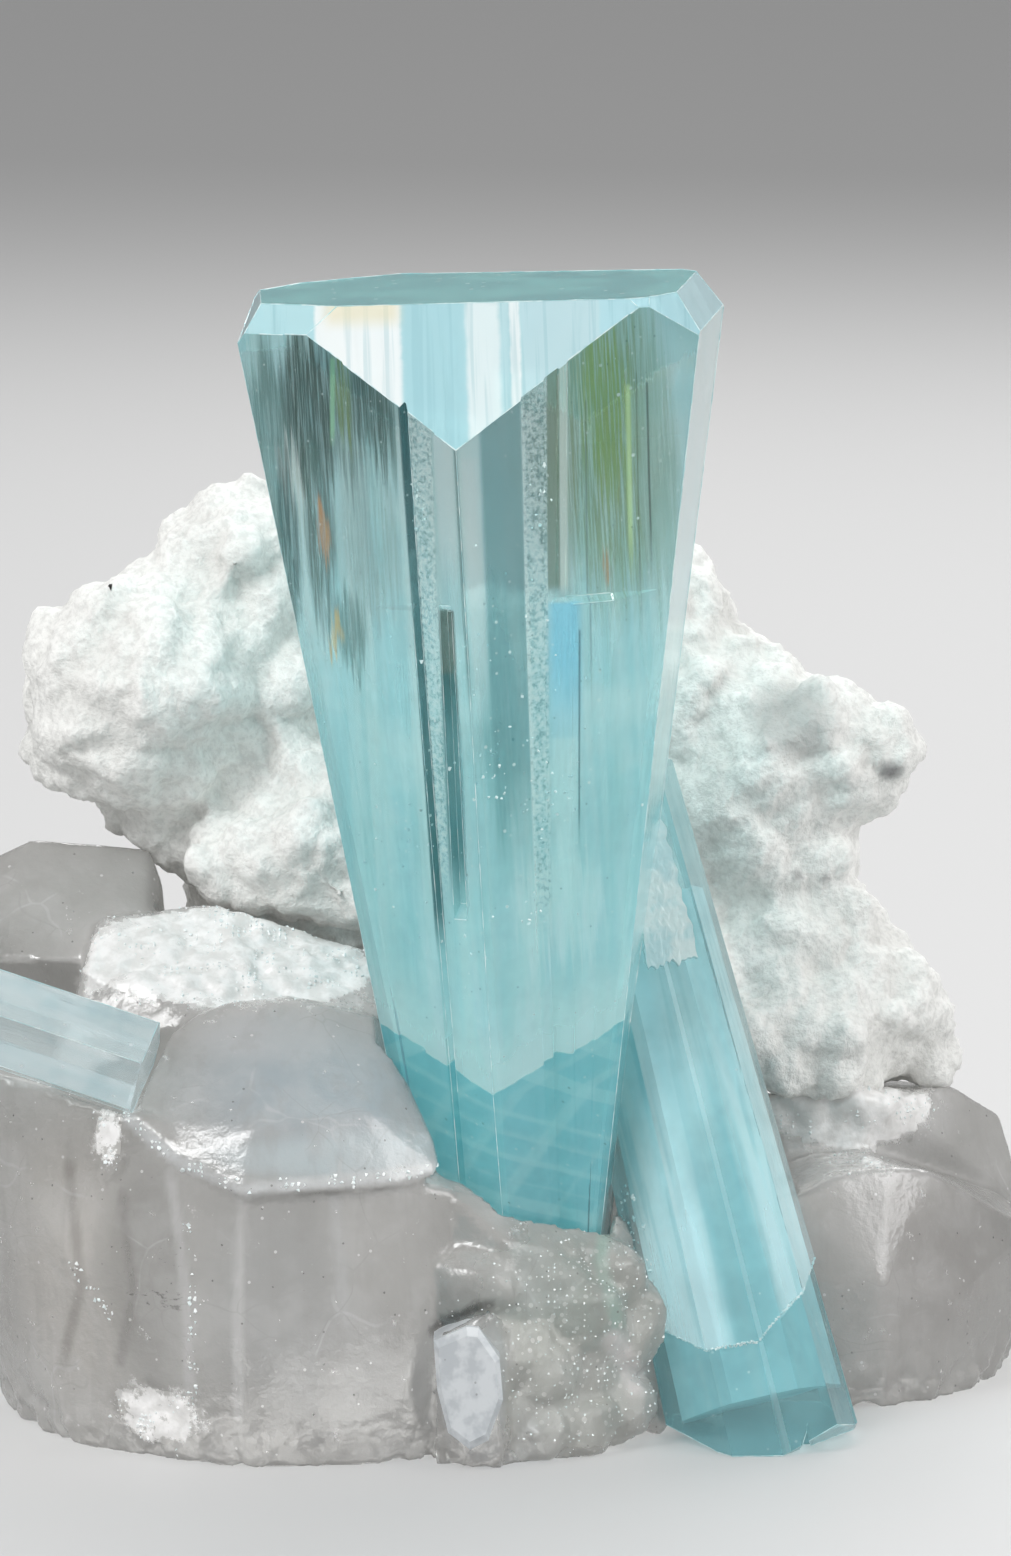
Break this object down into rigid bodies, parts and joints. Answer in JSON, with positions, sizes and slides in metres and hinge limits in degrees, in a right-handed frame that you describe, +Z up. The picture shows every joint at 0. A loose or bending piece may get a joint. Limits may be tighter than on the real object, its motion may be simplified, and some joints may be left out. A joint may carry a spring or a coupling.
{
  "type": "aquamarine crystal specimen",
  "caption": "Mineral hand specimen: a flared aquamarine prism and a leaning one on a quartz base with white albite, standing freely.",
  "frame": {"origin": "on the ground, under the middle of the specimen's box", "axes": "+Z up along the main crystal, -Y towards the side with the leaning crystal's free end, +X to the right seen from there"},
  "size_m": [0.0922, 0.068, 0.0964],
  "materials": {
    "aquamarine": "clear to milky blue-green crystal, striated lengthwise",
    "aquamarine_pale": "pale milky crystal with white streaks",
    "quartz": "grey translucent quartz, glassy with frosted and crusted patches",
    "albite": "white sugary albite, matt"
  },
  "bodies": {
    "root": {"aquamarine_pair": "aquamarine", "aquamarine_left": "aquamarine_pale", "quartz_cluster": "quartz", "albite_matrix": "albite"}
  },
  "joints": []
}
